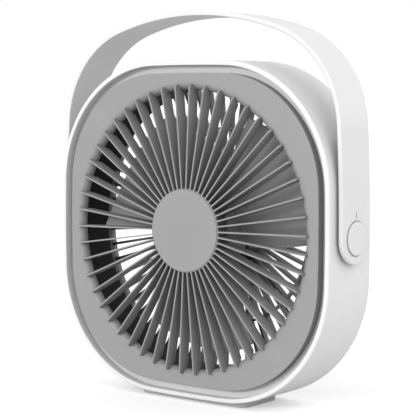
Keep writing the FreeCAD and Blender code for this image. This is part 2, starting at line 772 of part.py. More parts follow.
def build_rotor():
    """Steel rotor can, ring magnet and shaft."""
    can = Piece("rotor_can")
    can_back = y_spin + 16.0
    can.turn([
        (3.5, y_can + 0.02), (can_r, y_can + 0.02), (can_r, can_back), (magnet_r, can_back),
        (magnet_r, y_can + 0.9), (3.5, y_can + 0.9),
    ])
    can.place()
    magnet = Piece("magnet_ring")
    magnet.turn(rect(magnet_r - 1.5, magnet_r - fit_gap, y_stator - 1.0, can_back - 0.5))
    magnet.place()
    shaft = Piece("shaft")
    y_end = y_bear3 + 5.2
    shaft.turn([
        (0.0, y_spin + 1.05), (3.45, y_spin + 1.05), (3.45, y_can + 2.6), (shaft_r, y_can + 2.6),
        (shaft_r, y_end - 0.9), (shaft_r - 0.35, y_end - 0.9), (shaft_r - 0.35, y_end - 0.35),
        (shaft_r, y_end - 0.35), (shaft_r, y_end), (0.0, y_end),
    ])
    shaft.place()
    clip = Piece("shaft_clip")
    clip.turn(rect(shaft_r - 0.33, shaft_r + 1.4, y_end - 0.87, y_end - 0.38))
    clip.cut("XZ", y_end - 2, y_end + 1, rect(-Size.of(0.6), Size.of(0.6), 0.0, 4.0))
    clip.place()


def tube_along_y(y0, y1, inner, outer):
    """Return a plain ring about the fan's axis between two levels."""
    y0, y1, inner, outer = (Size.of(s).value for s in (y0, y1, inner, outer))
    solid = Part.makeCylinder(outer, y1 - y0, V(0, y0, 0), V(0, 1, 0))
    return solid.cut(Part.makeCylinder(inner, y1 - y0, V(0, y0, 0), V(0, 1, 0)))


def build_stator():
    """Bearings, laminated core, its coils and the motor's own small board."""
    middle = bearing_r - 1.2
    rings = []
    for start in (y_tube + 0.1, y_bear3 + 0.1):
        rings.append(tube_along_y(start, start + 4.0, shaft_r + fit_gap, middle))
        rings.append(tube_along_y(start, start + 4.0, middle, bearing_r))
    bearings = [rings[0].fuse(rings[1]).removeSplitter(), rings[2].fuse(rings[3]).removeSplitter()]
    feature = DOC.addObject("Part::Feature", "group_bearings")
    feature.Shape = Part.makeCompound(bearings)
    feature.Placement = FreeCAD.Placement(V(0, 0, axis_z.value), FreeCAD.Rotation())
    feature.Label = "bearings"

    core = Piece("stator_core")
    core.turn(rect(tube_r + fit_gap, tube_r + 1.6, y_stator, y_stator + stator_t))
    arm = rect(tube_r + 1.0, stator_r - 0.3 - 0.8, -Size.of(0.8), Size.of(0.8))
    first = core.pad("XZ", y_stator, y_stator + stator_t, arm)
    core.around([first], POLE_COUNT)
    core.turn(rect(stator_r - 0.3 - 1.2, stator_r - 0.3, y_stator, y_stator + stator_t))
    gap = rect(stator_r - 2.0, stator_r + 1.0, -Size.of(0.4), Size.of(0.4))
    slot_cut = core.cut("XZ", y_stator - 1, y_stator + stator_t + 1, gap,
                        turn=180.0 / POLE_COUNT)
    core.around([slot_cut], POLE_COUNT)
    core.place()

    inner, outer = (tube_r + 1.7).value, (stator_r - 1.8).value
    long, high = outer - inner, stator_t.value
    coil = Part.makeBox(long, high + 2.0, 3.2, V(inner, y_stator.value - 1.0, -1.6))
    coil = coil.makeFillet(0.6, [e for e in coil.Edges
                                 if abs(e.Vertexes[0].X - e.Vertexes[1].X) > 0.1])
    coil = coil.cut(Part.makeBox(long + 1, high + 0.06, 1.66,
                                 V(inner - 0.5, y_stator.value - 0.03, -0.83)))
    turns = [FreeCAD.Placement(V(0, 0, 0), FreeCAD.Rotation(V(0, 1, 0), 360.0 * k / POLE_COUNT))
             for k in range(POLE_COUNT)]
    group("stator_coils", coil, turns)

    y_disc = y_spin + 17.4
    board = Piece("motor_board")
    board.turn(rect(tube_r + 0.05, stator_r + 1.5, y_disc, y_disc + 1.0))
    board.pad("XZ", y_disc + 0.9, y_disc + 1.9, rect(8.0, 12.0, -Size.of(1.5), Size.of(1.5)),
              turn=90.0)
    board.place()


# ---------------------------------------------------------------------------
# Battery, board and controls
# ---------------------------------------------------------------------------

post_d = derived("post_d", panel_a + 4.0)
board_in = derived("board_in", throat_r + 8.9)
board_out = derived("board_out", panel_a + 10.4)
board_t = given("board_t", 1.2)
y_board = derived("y_board", y_plate - 7.2)
post_t = given("post_t", 19.5)
button_d = derived("button_d", flange_r + 3.55)
button_r = given("button_r", 2.9)
lens_r = given("lens_r", 0.9)
lens_t = given("lens_t", 7.5)
port_t = given("port_t", -10.0)
port_wide = given("port_wide", 9.0)
port_thin = given("port_thin", 3.2)
travel = given("travel", 0.35)


def build_battery():
    """A flat cell standing in a lower corner outside the duct, in a moulded tray."""
    inner = throat_r + duct_t + 2.4
    half, tall = 22.0, 13.6
    cell = Piece("battery_pack")
    cell.pad("XZ", y_ledge + 2.4, y_ledge + 2.4 + tall,
             rect(inner, inner + 8.0, -Size.of(half), Size.of(half)))
    cell.round(1.5, lambda e: abs(e.Length - 2 * half) < 0.01 or abs(e.Length - tall) < 0.01)
    cell.place(BATTERY_ANGLE)
    tray = Piece("battery_tray")
    tray.pad("XZ", y_ledge + 1.6, y_ledge + 7.4,
             rect(inner - 0.9, inner + 9.4, -Size.of(23.3), Size.of(23.3)))
    tray.cut("XZ", y_ledge + 2.38, y_ledge + 8.0,
             rect(inner - 0.05, inner + 8.05, -Size.of(22.05), Size.of(22.05)))
    tray.cut("XZ", y_ledge + 2.38, y_ledge + 8.0,
             rect(inner - 4, inner - 0.3, -Size.of(16.0), Size.of(16.0)))
    tray.place(BATTERY_ANGLE)


def build_controls():
    """Circuit board with its switch and charging port, the power button and light pipe."""
    top = y_board + board_t
    board = Piece("circuit_board")
    half = 23.0
    board.pad("XZ", y_board, top, [
        (board_in, -Size.of(13.0)), (board_in + 1.5, -Size.of(half)),
        (board_out - 4.6, -Size.of(half)),
        (board_out, -Size.of(6.0)), (board_out, Size.of(6.0)), (board_out - 4.6, Size.of(half)),
        (board_in + 1.5, Size.of(half)), (board_in, Size.of(13.0)),
    ])
    holes = [("circle", post_d, side * post_t, 1.35) for side in (1, -1)]
    board.cut("XZ", y_board - 1, top + 1, *holes)
    board.pad("XZ", y_board - 1.4, y_board + 0.1,
              rect(board_in + 1.5, board_in + 6.0, Size.of(2.0), Size.of(7.0)),
              rect(board_in + 2.0, board_in + 5.0, -Size.of(8.0), -Size.of(4.0)))
    board.place(BOARD_ANGLE)

    switch = Piece("tact_switch")
    switch.pad("XZ", top + 0.03, top + 2.6,
               rect(button_d - 3, button_d + 3, -Size.of(3.0), Size.of(3.0)))
    switch.pad("XZ", top + 2.5, top + 3.2, ("circle", button_d, 0.0, 1.7))
    switch.place(BOARD_ANGLE)

    button = Piece("power_button")
    under = top + 3.2 + travel + run_gap
    flange = y_plate - travel - 0.15
    button.pad("XZ", flange - 0.8, flange, ("circle", button_d, 0.0, button_r + 0.5))
    button.pad("XZ", flange - 0.1, y_rear - 0.1, ("circle", button_d, 0.0, button_r))
    button.round(0.4, lambda e: on_face(e, y_rear - 0.1))
    button.pad("XZ", under, flange - 0.7, ("circle", button_d, 0.0, 1.6))
    button.place(BOARD_ANGLE)

    lens = Piece("light_pipe")
    lens.pad("XZ", top + 0.3, y_rear - 0.15, ("circle", button_d, lens_t, lens_r))
    lens.place(BOARD_ANGLE)

    port = Piece("usb_port")
    mouth = y_rear - 0.4
    thin, wide = port_thin / 2, port_wide / 2
    port.pad("XZ", top + 0.03, mouth, slot(button_d, port_t, thin, wide))
    port.cut("XZ", top + 1.2, mouth + 1, slot(button_d, port_t, thin - 0.4, wide - 0.4))
    port.pad("XZ", top + 1.1, mouth - 0.9,
             rect(button_d - 0.35, button_d + 0.35, port_t - 3.0, port_t + 3.0))
    port.place(BOARD_ANGLE)


def wire(points, radius):
    """Return one round wire along straight runs with the corners filled by the sweep."""
    spine = Part.makePolygon([V(*p) for p in points])
    start = V(*points[0])
    along = (V(*points[1]) - start).normalize()
    profile = Part.Wire(Part.makeCircle(radius, start, along))
    return spine.makePipeShell([profile], True, False, 2)


def build_wires():
    """Motor leads along the grille to the board, and battery leads round the ledge."""
    turned = FreeCAD.Placement(V(0, 0, 0), FreeCAD.Rotation(V(0, 1, 0), -BOARD_ANGLE))
    run = (y_flare - 1.2).value
    on_motor = (y_spin + 17.4).value + 1.05
    on_board = (y_board + board_t).value + 0.05
    far = (board_in + 0.9).value
    near = stator_r.value - 2.0
    pair = [wire([(near, on_motor, t), (near, run, t), (far, run, t), (far, on_board, t)], 0.45)
            for t in (-0.7, 0.7)]
    group("motor_leads", Part.makeCompound(pair), [turned])

    cell_end = 22.4
    radius = (throat_r + duct_t + 5.6).value
    start = (y_ledge + 14.0).value
    cell_turn = math.radians(BATTERY_ANGLE)
    board_turn = math.radians(BOARD_ANGLE)
    leads = []
    for k, level in enumerate((start, start - 1.6)):
        r = radius + 1.2 * k
        first = (r * math.cos(cell_turn) - cell_end * math.sin(cell_turn), level,
                 r * math.sin(cell_turn) + cell_end * math.cos(cell_turn))
        points = [first]
        for angle in (246, 253, 260, 267, 274, 281, 288, 294):
            low = math.radians(angle)
            points.append((r * math.cos(low), level, r * math.sin(low)))
        end_d = (board_in + 3.0 + 1.5 * k).value
        side = -15.0
        x = end_d * math.cos(board_turn) - side * math.sin(board_turn)
        z = end_d * math.sin(board_turn) + side * math.cos(board_turn)
        points.append((x, level, z))
        points.append((x, y_board.value - 0.05, z))
        leads.append(wire(points, 0.45))
    group("battery_leads", Part.makeCompound(leads), [FreeCAD.Placement()])


def screw_along_y(head_y, tip_y, head_r):
    """Return a pan-head screw on the axis: its head at one level and its tip at another."""
    head_y, tip_y = Size.of(head_y).value, Size.of(tip_y).value
    head_t = 1.1 if tip_y > head_y else -1.1
    way = V(0, math.copysign(1, head_t), 0)
    screw = Part.makeCylinder(head_r, abs(head_t), V(0, head_y, 0), way)
    screw = screw.fuse(Part.makeCylinder(screw_r.value, abs(tip_y - head_y), V(0, head_y, 0), way))
    screw = screw.removeSplitter()
    return screw.cut(Part.makeCylinder(0.8, 0.7, V(0, head_y, 0), way))


def build_screws():
    """The three sets of screws that hold the shells, the front and the board."""
    def spots(angles, distance):
        found = []
        for angle in angles:
            x, z = polar(angle, Size.of(distance).value)
            found.append(FreeCAD.Placement(V(x, 0, z), FreeCAD.Rotation()))
        return found

    back = screw_along_y(y_ledge + run_gap + 1.5 + 0.05 + 1.1, y_panel + 1.3, 2.2)
    group("grille_screws", back, spots(GRILLE_ANGLES, grille_screws_r))
    shell = screw_along_y(y_rear - 0.15, y_split - 8.0, 2.2)
    group("shell_screws", shell, spots(SHELL_ANGLES, shell_screws_r))
    small = screw_along_y(y_board - 1.15, y_plate - 0.5, 2.0)
    turn = math.radians(BOARD_ANGLE)
    places = []
    for side in (1, -1):
        t = side * post_t.value
        d = post_d.value
        places.append(FreeCAD.Placement(
            V(d * math.cos(turn) - t * math.sin(turn), 0, d * math.sin(turn) + t * math.cos(turn)),
            FreeCAD.Rotation()))
    group("board_screws", small, places)


# ---------------------------------------------------------------------------
# Build, check and export
# ---------------------------------------------------------------------------

BUILDERS = (
    build_body_shell, build_rear_shell, build_front_grille, build_duct_ring, build_rear_grille,
    build_hub_cover, build_foot_pad, build_handle, build_pivots, build_impeller, build_rotor,
    build_stator, build_battery, build_controls, build_wires, build_screws,
)


def pieces():
    """Return every finished piece: the bodies and the groups."""
    return [o for o in DOC.Objects
            if o.TypeId == "PartDesign::Body" or o.Name.startswith("group_")]


def check():
    """Stop on any object that failed or any shape that is empty or not valid."""
    faults = [o.Name for o in DOC.Objects if "Invalid" in o.State or "Error" in o.State]
    for piece in pieces():
        if piece.Shape.isNull() or not piece.Shape.isValid() or not piece.Shape.Solids:
            faults.append(piece.Label)
    if faults:
        raise RuntimeError("faulty: " + ", ".join(faults))


for build in BUILDERS:
    build()
DOC.recompute()
check()
os.makedirs("parts", exist_ok=True)
for piece in pieces():
    piece.Shape.exportStep(f"parts/{piece.Label}.step")
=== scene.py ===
"""Looks of a small desk fan with a swinging carry handle.

The CAD frame gives every piece its shape and place.  This script dresses each piece in
its own finish, adds the contact strips in the charging socket that the frame leaves out,
and sets up a plain pale studio with the camera.
"""

import json
import logging
import math
from dataclasses import dataclass, field
from enum import Enum
from typing import Protocol

import bmesh
import bpy
from mathutils import Matrix, Vector

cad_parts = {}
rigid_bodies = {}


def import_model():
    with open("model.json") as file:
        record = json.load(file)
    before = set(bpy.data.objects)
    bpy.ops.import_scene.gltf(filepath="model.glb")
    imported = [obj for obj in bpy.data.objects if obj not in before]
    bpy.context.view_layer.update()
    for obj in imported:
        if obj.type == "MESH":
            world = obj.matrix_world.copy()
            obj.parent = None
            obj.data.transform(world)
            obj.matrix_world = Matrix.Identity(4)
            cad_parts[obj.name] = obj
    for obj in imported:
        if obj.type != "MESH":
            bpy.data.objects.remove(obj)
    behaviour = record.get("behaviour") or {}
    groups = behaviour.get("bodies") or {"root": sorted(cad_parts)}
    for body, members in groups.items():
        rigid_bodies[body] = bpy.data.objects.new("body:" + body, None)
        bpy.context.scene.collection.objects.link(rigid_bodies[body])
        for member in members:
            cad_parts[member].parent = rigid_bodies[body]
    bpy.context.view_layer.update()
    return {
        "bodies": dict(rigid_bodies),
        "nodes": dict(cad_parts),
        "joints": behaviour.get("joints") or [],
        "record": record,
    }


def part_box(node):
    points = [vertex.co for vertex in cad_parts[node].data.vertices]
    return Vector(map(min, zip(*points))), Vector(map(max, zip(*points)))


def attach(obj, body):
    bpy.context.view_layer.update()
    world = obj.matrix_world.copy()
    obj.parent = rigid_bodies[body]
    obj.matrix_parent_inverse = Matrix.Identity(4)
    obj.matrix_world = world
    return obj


LOG = logging.getLogger("desk_fan")

Colour = tuple[float, float, float]

# The fan's axis above the table
AXIS_HEIGHT = 0.0816

# How worn and dusty surfaces differ from clean ones, and how dark the painted shade in creases and gaps
# is
RUBBED_LIGHTER = 1.25
BURNISHED_LIGHTER = 1.3
BURNISHED_SHARE = 0.5
RUBBED_SMOOTHER = 0.2
CREVICE_SHADE_DARKER = 0.15
DUST_COLOUR: Colour = (0.72, 0.71, 0.69)
CLOUD_ROUGHENS = 0.12

# The mid value of a noise, and of the pointiness of a flat face
MIDDLE = 0.5


# ---------------------------------------------------------------------------
# Shader groups shared by the finishes
# ---------------------------------------------------------------------------

class Effect(Enum):
    """The shader groups that more than one finish uses."""

    GRAIN = "mould_grain"
    WEAR_AND_SHADE = "edge_wear_and_crevice_shade"
    DUST = "settled_dust"
    BRUSHED = "brushed_lines"
    INNER = "inward_face_shade"


def new_group(effect: Effect, inputs: dict[str, float], outputs: dict[str, str]) -> bpy.types.NodeTree:
    """Make an empty shader group with named sockets.

    Args:
        effect: Which effect the group is for; its value is the group's name.
        inputs: Float inputs and their default values.
        outputs: Output names and their socket types.

    Returns:
        The new node tree.
    """
    tree = bpy.data.node_groups.new(effect.value, "ShaderNodeTree")
    for name, value in inputs.items():
        socket = tree.interface.new_socket(name, in_out="INPUT", socket_type="NodeSocketFloat")
        socket.default_value = value
    for name, kind in outputs.items():
        tree.interface.new_socket(name, in_out="OUTPUT", socket_type=kind)
    return tree


@dataclass
class Wiring:
    """A small helper that adds and links the nodes of one tree."""

    tree: bpy.types.NodeTree

    def add(self, kind: str, **values: object) -> bpy.types.Node:
        """Add a node and set its properties or its unlinked inputs by name.

        Args:
            kind: The node's type name.
            **values: Properties of the node, or inputs with spaces as underscores.

        Returns:
            The new node.
        """
        node = self.tree.nodes.new(kind)
        for key, value in values.items():
            label = key.replace("_", " ")
            if hasattr(node, key):
                setattr(node, key, value)
            elif label in node.inputs:
                node.inputs[label].default_value = value
        return node

    def math(self, operation: str, first: object, second: object = 0.0,
             clamp: bool = False) -> bpy.types.NodeSocket:
        """Add a maths node fed by sockets or plain numbers.

        Args:
            operation: The maths operation.
            first: First operand, a socket or a number.
            second: Second operand, a socket or a number.
            clamp: Whether to hold the result between 0 and 1.

        Returns:
            The result socket.
        """
        node = self.add("ShaderNodeMath", operation=operation, use_clamp=clamp)
        for socket, operand in zip(node.inputs, (first, second)):
            if isinstance(operand, bpy.types.NodeSocket):
                self.link(operand, socket)
            else:
                socket.default_value = operand
        return node.outputs[0]

    def link(self, source: bpy.types.NodeSocket, target: bpy.types.NodeSocket) -> None:
        """Join an output to an input.

        Args:
            source: The output.
            target: The input.
        """
        self.tree.links.new(source, target)


def grain_group() -> bpy.types.NodeTree:
    """Make the fine pebbled texture that a tool leaves on moulded plastic.

    Returns:
        The group's node tree.
    """
    tree = new_group(Effect.GRAIN, {"Pitch": 2600.0, "Cloud": 18.0},
                     {"Height": "NodeSocketFloat", "Tone": "NodeSocketFloat"})
    wiring = Wiring(tree)
    source = wiring.add("NodeGroupInput")
    sink = wiring.add("NodeGroupOutput")
    place = wiring.add("ShaderNodeTexCoord")
    pebbles = wiring.add("ShaderNodeTexVoronoi", feature="SMOOTH_F1", Smoothness=0.6)
    fine = wiring.add("ShaderNodeTexNoise", Detail=3.0, Roughness=0.6)
    cloud = wiring.add("ShaderNodeTexNoise", Detail=2.0, Roughness=0.5)
    for node in (pebbles, fine, cloud):
        wiring.link(place.outputs["Object"], node.inputs["Vector"])
    wiring.link(source.outputs["Pitch"], pebbles.inputs["Scale"])
    wiring.link(wiring.math("MULTIPLY", source.outputs["Pitch"], 2.3), fine.inputs["Scale"])
    wiring.link(source.outputs["Cloud"], cloud.inputs["Scale"])
    rough = wiring.math("MULTIPLY", fine.outputs["Fac"], 0.5)
    wiring.link(wiring.math("ADD", pebbles.outputs["Distance"], rough), sink.inputs["Height"])
    wiring.link(cloud.outputs["Fac"], sink.inputs["Tone"])
    return tree


def wear_and_shade_group() -> bpy.types.NodeTree:
    """Make the mask of outside edges, broken up as handling breaks them, and a mask of painted shade in
    creases and gaps, taken from ambient occlusion.

    Returns:
        The group's node tree.
    """
    tree = new_group(Effect.WEAR_AND_SHADE, {"Width": 0.06, "Breakup": 160.0, "Reach": 0.006},
                     {"Mask": "NodeSocketFloat", "CreviceShade": "NodeSocketFloat"})
    wiring = Wiring(tree)
    source = wiring.add("NodeGroupInput")
    sink = wiring.add("NodeGroupOutput")
    shape = wiring.add("ShaderNodeNewGeometry")
    place = wiring.add("ShaderNodeTexCoord")
    noise = wiring.add("ShaderNodeTexNoise", Detail=4.0, Roughness=0.65)
    wiring.link(place.outputs["Object"], noise.inputs["Vector"])
    wiring.link(source.outputs["Breakup"], noise.inputs["Scale"])
    lifted = wiring.math("SUBTRACT", shape.outputs["Pointiness"], MIDDLE)
    sharp = wiring.math("DIVIDE", lifted, source.outputs["Width"], clamp=True)
    broken = wiring.math("MULTIPLY", sharp, noise.outputs["Fac"], clamp=True)
    wiring.link(broken, sink.inputs["Mask"])
    # Painted shade: ambient occlusion marks creases and gaps, which the finishes darken
    nook = wiring.add("ShaderNodeAmbientOcclusion", samples=6)
    wiring.link(source.outputs["Reach"], nook.inputs["Distance"])
    wiring.link(wiring.math("SUBTRACT", 1.0, nook.outputs["AO"], clamp=True), sink.inputs["CreviceShade"])
    return tree


def dust_group() -> bpy.types.NodeTree:
    """Make the mask of faint dust that settles on faces that look up.

    Returns:
        The group's node tree.
    """
    tree = new_group(Effect.DUST, {"Amount": 0.3, "Patch": 70.0}, {"Mask": "NodeSocketFloat"})
    wiring = Wiring(tree)
    source = wiring.add("NodeGroupInput")
    sink = wiring.add("NodeGroupOutput")
    place = wiring.add("ShaderNodeTexCoord")
    split = wiring.add("ShaderNodeSeparateXYZ")
    wiring.link(place.outputs["Normal"], split.inputs[0])
    noise = wiring.add("ShaderNodeTexNoise", Detail=5.0, Roughness=0.7)
    wiring.link(place.outputs["Object"], noise.inputs["Vector"])
    wiring.link(source.outputs["Patch"], noise.inputs["Scale"])
    up = wiring.math("MULTIPLY", split.outputs["Z"], noise.outputs["Fac"], clamp=True)
    wiring.link(wiring.math("MULTIPLY", up, source.outputs["Amount"], clamp=True), sink.inputs["Mask"])
    return tree


def brushed_group() -> bpy.types.NodeTree:
    """Make fine drawn lines, as rolled or turned metal has.

    Returns:
        The group's node tree.
    """
    tree = new_group(Effect.BRUSHED, {"Fineness": 900.0},
                     {"Height": "NodeSocketFloat", "Streak": "NodeSocketFloat"})
    wiring = Wiring(tree)
    source = wiring.add("NodeGroupInput")
    sink = wiring.add("NodeGroupOutput")
    place = wiring.add("ShaderNodeTexCoord")
    squeeze = wiring.add("ShaderNodeMapping")
    squeeze.inputs["Scale"].default_value = (1.0, 12.0, 1.0)
    wiring.link(place.outputs["Object"], squeeze.inputs["Vector"])
    noise = wiring.add("ShaderNodeTexNoise", Detail=2.0, Roughness=0.5)
    wiring.link(squeeze.outputs["Vector"], noise.inputs["Vector"])
    wiring.link(source.outputs["Fineness"], noise.inputs["Scale"])
    wiring.link(noise.outputs["Fac"], sink.inputs["Height"])
    wiring.link(noise.outputs["Fac"], sink.inputs["Streak"])
    return tree


def inner_group() -> bpy.types.NodeTree:
    """Make the mask of faces that look in towards the fan's axis, where finishes paint shade.

    Returns:
        The group's node tree.
    """
    tree = new_group(Effect.INNER, {"Sharpness": 6.0}, {"Mask": "NodeSocketFloat"})
    wiring = Wiring(tree)
    source = wiring.add("NodeGroupInput")
    sink = wiring.add("NodeGroupOutput")
    place = wiring.add("ShaderNodeTexCoord")
    out = wiring.add("ShaderNodeVectorMath", operation="SUBTRACT")
    wiring.link(place.outputs["Object"], out.inputs[0])
    out.inputs[1].default_value = (0.0, 0.0, AXIS_HEIGHT)
    flat = wiring.add("ShaderNodeVectorMath", operation="MULTIPLY")
    wiring.link(out.outputs[0], flat.inputs[0])
    flat.inputs[1].default_value = (1.0, 0.0, 1.0)
    along = wiring.add("ShaderNodeVectorMath", operation="NORMALIZE")
    wiring.link(flat.outputs[0], along.inputs[0])
    facing = wiring.add("ShaderNodeVectorMath", operation="DOT_PRODUCT")
    wiring.link(along.outputs[0], facing.inputs[0])
    wiring.link(place.outputs["Normal"], facing.inputs[1])
    turned = wiring.math("MULTIPLY", facing.outputs["Value"], -1.0)
    edge = wiring.math("SUBTRACT", turned, 0.3)
    wiring.link(wiring.math("MULTIPLY", edge, source.outputs["Sharpness"], clamp=True),
                sink.inputs["Mask"])
    return tree


GROUP_MAKERS = {
    Effect.INNER: inner_group,
    Effect.GRAIN: grain_group,
    Effect.WEAR_AND_SHADE: wear_and_shade_group,
    Effect.DUST: dust_group,
    Effect.BRUSHED: brushed_group,
}


def place_group(wiring: Wiring, effect: Effect, **values: float) -> bpy.types.Node:
    """Place a shared group in a material with its own values.

    Args:
        wiring: The material's wiring helper.
        effect: Which group to place.
        **values: Values for the group's inputs.

    Returns:
        The group node.
    """
    tree = bpy.data.node_groups.get(effect.value) or GROUP_MAKERS[effect]()
    node = wiring.tree.nodes.new("ShaderNodeGroup")
    node.node_tree = tree
    for name, value in values.items():
        node.inputs[name].default_value = value
    return node


# ---------------------------------------------------------------------------
# Finishes
# ---------------------------------------------------------------------------

def blank_material(name: str) -> tuple[bpy.types.Material, Wiring, bpy.types.Node]:
    """Make a fresh node material with its helper and its Principled shader.

    Args:
        name: The material's name.

    Returns:
        The material, its wiring helper and the shader node.
    """
    material = bpy.data.materials.new(name)
    material.use_nodes = True
    wiring = Wiring(material.node_tree)
    shader = material.node_tree.nodes["Principled BSDF"]
    return material, wiring, shader


def mix_colour(wiring: Wiring, mask: bpy.types.NodeSocket, low: object,
               high: object) -> bpy.types.NodeSocket:
    """Blend two colours, or a colour socket and a colour, by a mask.

    Args:
        wiring: The tree's helper.
        mask: The blend, 0 for low and 1 for high.
        low: A colour or a colour socket.
        high: A colour or a colour socket.

    Returns:
        The blended colour socket.
    """
    node = wiring.add("ShaderNodeMix", data_type="RGBA")
    wiring.link(mask, node.inputs[0])
    for socket, colour in ((node.inputs[6], low), (node.inputs[7], high)):
        if isinstance(colour, bpy.types.NodeSocket):
            wiring.link(colour, socket)
        else:
            socket.default_value = (*colour, 1.0)
    return node.outputs[2]


def scaled(colour: Colour, factor: float) -> Colour:
    """Make a colour lighter or darker.

    Args:
        colour: The colour to change.
        factor: Above 1 is lighter, below 1 is darker.

    Returns:
        The changed colour, each channel held to 1.
    """
    return tuple(min(1.0, channel * factor) for channel in colour)


@dataclass(frozen=True)
class MouldedPlastic:
    """Injection-moulded plastic: pebbled grain, faint clouding, rubbed edges, light dust, painted shade
    in creases and gaps and, where asked, on faces that look in towards the axis.
    """

    name: str
    colour: Colour
    roughness: float = 0.42
    pitch: float = 2600.0
    depth: float = 0.00002
    relief: float = 0.25
    clouding: float = 0.03
    wear: float = 0.25
    dust: float = 0.1
    # How dark faces that look in towards the axis are painted, as painted shade; 1 leaves them alone
    inward_shade: float = 1.0
    # How strongly creases and gaps are darkened as painted shade
    crevice_shade: float = 0.75
    coat: float = 0.0
    shine: float = 0.5

    def make(self) -> bpy.types.Material:
        """Make the material.

        Returns:
            The material.
        """
        material, wiring, shader = blank_material(self.name)
        grain = place_group(wiring, Effect.GRAIN, Pitch=self.pitch)
        wear = place_group(wiring, Effect.WEAR_AND_SHADE)
        dust = place_group(wiring, Effect.DUST, Amount=self.dust)
        toned = mix_colour(wiring, grain.outputs["Tone"], scaled(self.colour, 1 - self.clouding),
                           scaled(self.colour, 1 + self.clouding))
        edge = wiring.math("MULTIPLY", wear.outputs["Mask"], self.wear)
        worn = mix_colour(wiring, edge, toned, scaled(self.colour, RUBBED_LIGHTER))
        # Painted shade: creases and gaps are darkened towards a dark copy of the colour
        painted_crease_shade = wiring.math("MULTIPLY", wear.outputs["CreviceShade"], self.crevice_shade, clamp=True)
        shaded = mix_colour(wiring, painted_crease_shade, worn, scaled(self.colour, CREVICE_SHADE_DARKER))
        # Painted shade: faces that look in towards the axis are darkened
        if self.inward_shade < 1.0:
            inner = place_group(wiring, Effect.INNER)
            shaded = mix_colour(wiring, inner.outputs["Mask"], shaded, scaled(self.colour, self.inward_shade))
        dusty = mix_colour(wiring, dust.outputs["Mask"], shaded, DUST_COLOUR)
        wiring.link(dusty, shader.inputs["Base Color"])
        swing = wiring.math("SUBTRACT", grain.outputs["Tone"], MIDDLE)
        spread = wiring.math("MULTIPLY", swing, CLOUD_ROUGHENS)
        rubbed = wiring.math("SUBTRACT", wiring.math("ADD", spread, self.roughness),
                             wiring.math("MULTIPLY", edge, RUBBED_SMOOTHER))
        wiring.link(rubbed, shader.inputs["Roughness"])
        shader.inputs["Coat Weight"].default_value = self.coat
        shader.inputs["Specular IOR Level"].default_value = self.shine
        bump = wiring.add("ShaderNodeBump")
        bump.inputs["Strength"].default_value = self.relief
        bump.inputs["Distance"].default_value = self.depth
        wiring.link(grain.outputs["Height"], bump.inputs["Height"])
        wiring.link(bump.outputs["Normal"], shader.inputs["Normal"])
        return material


@dataclass(frozen=True)
class PlatedMetal:
    """Plated or ground metal with drawn lines and rubbed edges."""

    name: str
    colour: Colour
    roughness: float = 0.3
    fineness: float = 900.0
    relief: float = 0.15
    depth: float = 0.00001
    streak_colour: float = 0.1
    streak_roughness: float = 0.15
    streak_middle: float = 0.07

    def make(self) -> bpy.types.Material:
        """Make the material.

        Returns:
            The material.
        """
        material, wiring, shader = blank_material(self.name)
        lines = place_group(wiring, Effect.BRUSHED, Fineness=self.fineness)
        wear = place_group(wiring, Effect.WEAR_AND_SHADE)
        toned = mix_colour(wiring, lines.outputs["Streak"],
                           scaled(self.colour, 1.0 - self.streak_colour),
                           scaled(self.colour, 1.0 + self.streak_colour))
        edge = wiring.math("MULTIPLY", wear.outputs["Mask"], BURNISHED_SHARE)
        worn = mix_colour(wiring, edge, toned, scaled(self.colour, BURNISHED_LIGHTER))
        wiring.link(worn, shader.inputs["Base Color"])
        shader.inputs["Metallic"].default_value = 1.0
        spread = wiring.math("MULTIPLY", lines.outputs["Streak"], self.streak_roughness)
        wiring.link(wiring.math("ADD", spread, self.roughness - self.streak_middle),
                    shader.inputs["Roughness"])
        bump = wiring.add("ShaderNodeBump")
        bump.inputs["Strength"].default_value = self.relief
        bump.inputs["Distance"].default_value = self.depth
        wiring.link(lines.outputs["Height"], bump.inputs["Height"])
        wiring.link(bump.outputs["Normal"], shader.inputs["Normal"])
        return material


@dataclass(frozen=True)
class WoundCopper:
    """Enamelled copper wire, seen as close even turns."""

    name: str
    colour: Colour
    turns: float = 1300.0
    unevenness: float = 0.4
    gap_shade: float = 0.35
    metallic: float = 0.85
    roughness: float = 0.3
    roughness_swing: float = 0.1
    relief: float = 0.6
    depth: float = 0.0001

    def make(self) -> bpy.types.Material:
        """Make the material.

        Returns:
            The material.
        """
        material, wiring, shader = blank_material(self.name)
        place = wiring.add("ShaderNodeTexCoord")
        wave = wiring.add("ShaderNodeTexWave", wave_type="RINGS", rings_direction="Y")
        wave.inputs["Scale"].default_value = self.turns
        wave.inputs["Distortion"].default_value = self.unevenness
        wiring.link(place.outputs["Object"], wave.inputs["Vector"])
        toned = mix_colour(wiring, wave.outputs["Fac"], scaled(self.colour, self.gap_shade),
                           self.colour)
        wiring.link(toned, shader.inputs["Base Color"])
        shader.inputs["Metallic"].default_value = self.metallic
        swing = wiring.math("MULTIPLY", wave.outputs["Fac"], self.roughness_swing)
        wiring.link(wiring.math("ADD", swing, self.roughness), shader.inputs["Roughness"])
        bump = wiring.add("ShaderNodeBump")
        bump.inputs["Strength"].default_value = self.relief
        bump.inputs["Distance"].default_value = self.depth
        wiring.link(wave.outputs["Fac"], bump.inputs["Height"])
        wiring.link(bump.outputs["Normal"], shader.inputs["Normal"])
        return material


